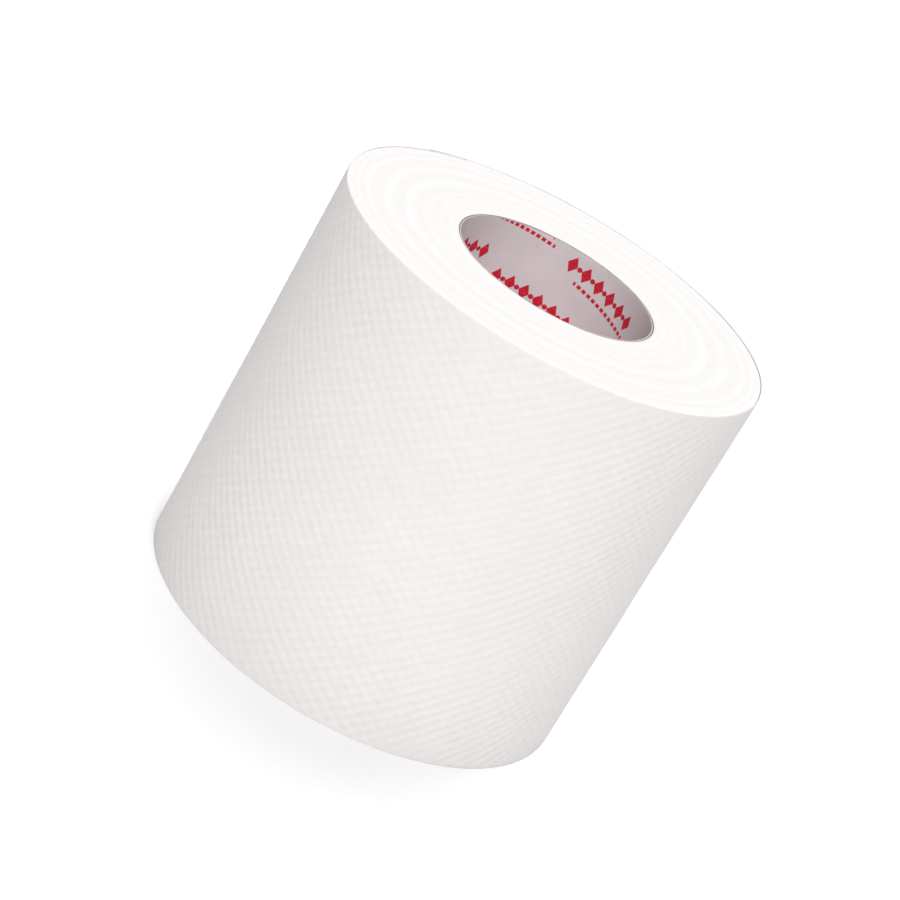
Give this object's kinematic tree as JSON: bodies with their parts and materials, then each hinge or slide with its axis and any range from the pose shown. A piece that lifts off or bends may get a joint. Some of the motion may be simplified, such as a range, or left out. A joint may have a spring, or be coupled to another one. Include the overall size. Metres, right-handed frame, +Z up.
{
  "type": "toilet paper roll",
  "caption": "Full roll of white embossed toilet paper wound on a card tube, standing on its end, with a through bore for a holder's spindle.",
  "frame": {"origin": "centre of the sawn end that the roll stands on", "axes": "+Z up along the roll's axis, -Y towards the front, +X to the right of the front; the free end of the paper lies at the back left, towards -X and +Y"},
  "size_m": [0.1038, 0.104, 0.098],
  "materials": {
    "paper": "soft matt, finely embossed",
    "core_card": "smooth pale grey card with dark red printed marks inside"
  },
  "bodies": {
    "root": {"paper_roll": "paper", "core_tube": "core_card"}
  },
  "joints": []
}
